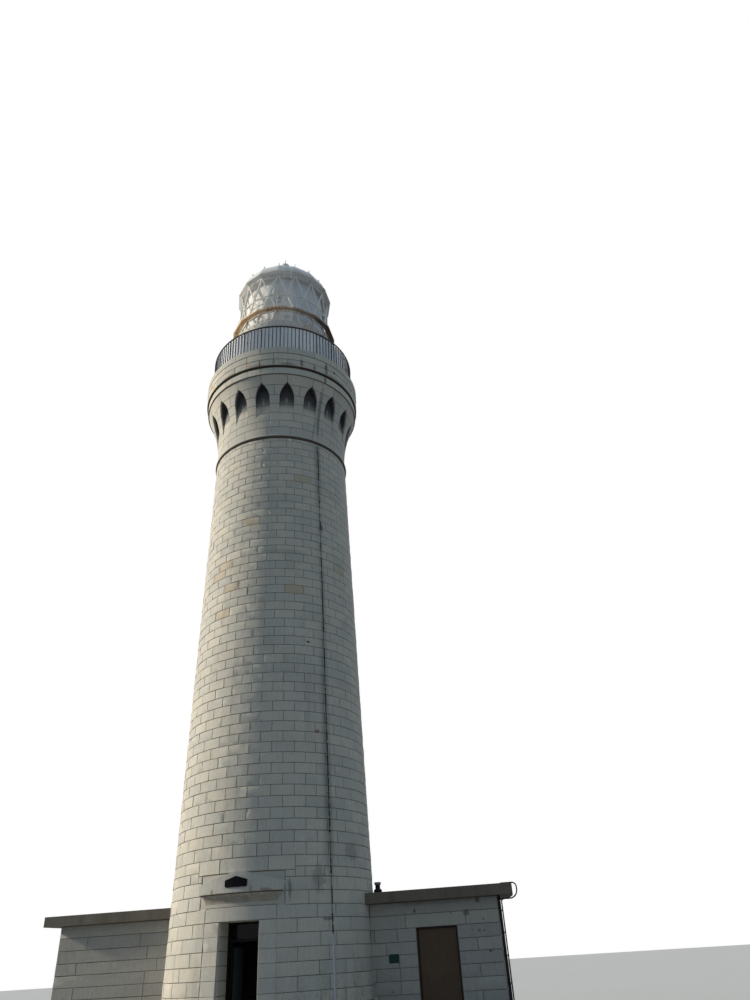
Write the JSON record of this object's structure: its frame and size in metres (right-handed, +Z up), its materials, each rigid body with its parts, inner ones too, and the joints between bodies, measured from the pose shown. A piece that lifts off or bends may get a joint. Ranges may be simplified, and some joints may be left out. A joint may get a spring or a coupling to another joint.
{
  "type": "lighthouse",
  "caption": "Round tapering granite lighthouse with an arcaded capital, railed gallery, white faceted lantern and a low D-shaped annex at its foot.",
  "frame": {"origin": "centre of the underside of the tower's floor, on the tower axis at ground level", "axes": "+Z up, -Y out of the main entrance, +X towards the wing with the brown door"},
  "size_m": [13.432, 9.3117, 29.878],
  "materials": {
    "granite": "rough dressed granite",
    "stone_floor": "worn",
    "concrete": "weathered concrete",
    "dark_metal": "semi gloss",
    "glass": "clear",
    "railing_metal": "satin",
    "screen_sheet": "thin mesh",
    "white_metal": "weathered paint",
    "white_cloth": "matte",
    "rusty_metal": "rusted paint",
    "grey_metal": "galvanised",
    "green_metal": "weathered",
    "brown_metal": "matte paint"
  },
  "bodies": {
    "building": {"tower_floor": "stone_floor", "shaft_wall_odd": "granite", "shaft_wall_even": "granite", "shaft_wall_front": "granite", "entrance_jambs": "granite", "entrance_lintel": "granite", "entrance_sill": "granite", "entrance_hood": "granite", "entrance_frame": "dark_metal", "entrance_transom_glass": "glass", "capital_odd": "granite", "capital_even": "granite", "gallery_cornice": "granite", "gallery_deck": "granite", "gallery_railing": "railing_metal", "gallery_screen": "screen_sheet", "service_room_wall": "white_metal", "lantern_sill": "white_metal", "lantern_lattice": "white_metal", "lantern_glass": "glass", "lantern_curtain": "white_cloth", "lantern_catwalk": "rusty_metal", "catwalk_stays": "white_metal", "lantern_ladder": "white_metal", "lantern_eave": "white_metal", "lantern_roof": "white_metal", "roof_lugs": "white_metal", "roof_ventilator": "white_metal", "lightning_rod": "grey_metal", "lightning_conductor": "green_metal", "conductor_guard": "grey_metal", "annex_front_walls": "granite", "annex_door_lintel": "granite", "annex_rear_wall_odd": "granite", "annex_rear_wall_even": "granite", "annex_roof_slab": "concrete", "annex_floor": "concrete", "annex_door_frame": "brown_metal", "annex_downpipe": "dark_metal", "annex_conduit": "dark_metal", "annex_roof_vent": "dark_metal"},
    "entrance_leaf": {"entrance_door": "dark_metal", "entrance_door_glass": "glass"},
    "annex_leaf": {"annex_door": "brown_metal"}
  },
  "joints": [
    {"name": "entrance_door_hinge", "type": "hinge", "parent": "building", "child": "entrance_leaf", "pos_m": [-0.447, -2.026, 1.1], "axis": [0, 0, 1], "range_deg": [-90, 10]},
    {"name": "annex_door_hinge", "type": "hinge", "parent": "building", "child": "annex_leaf", "pos_m": [4.068, -0.269, 1.1], "axis": [0, 0, -1], "range_deg": [0, 105]}
  ]
}
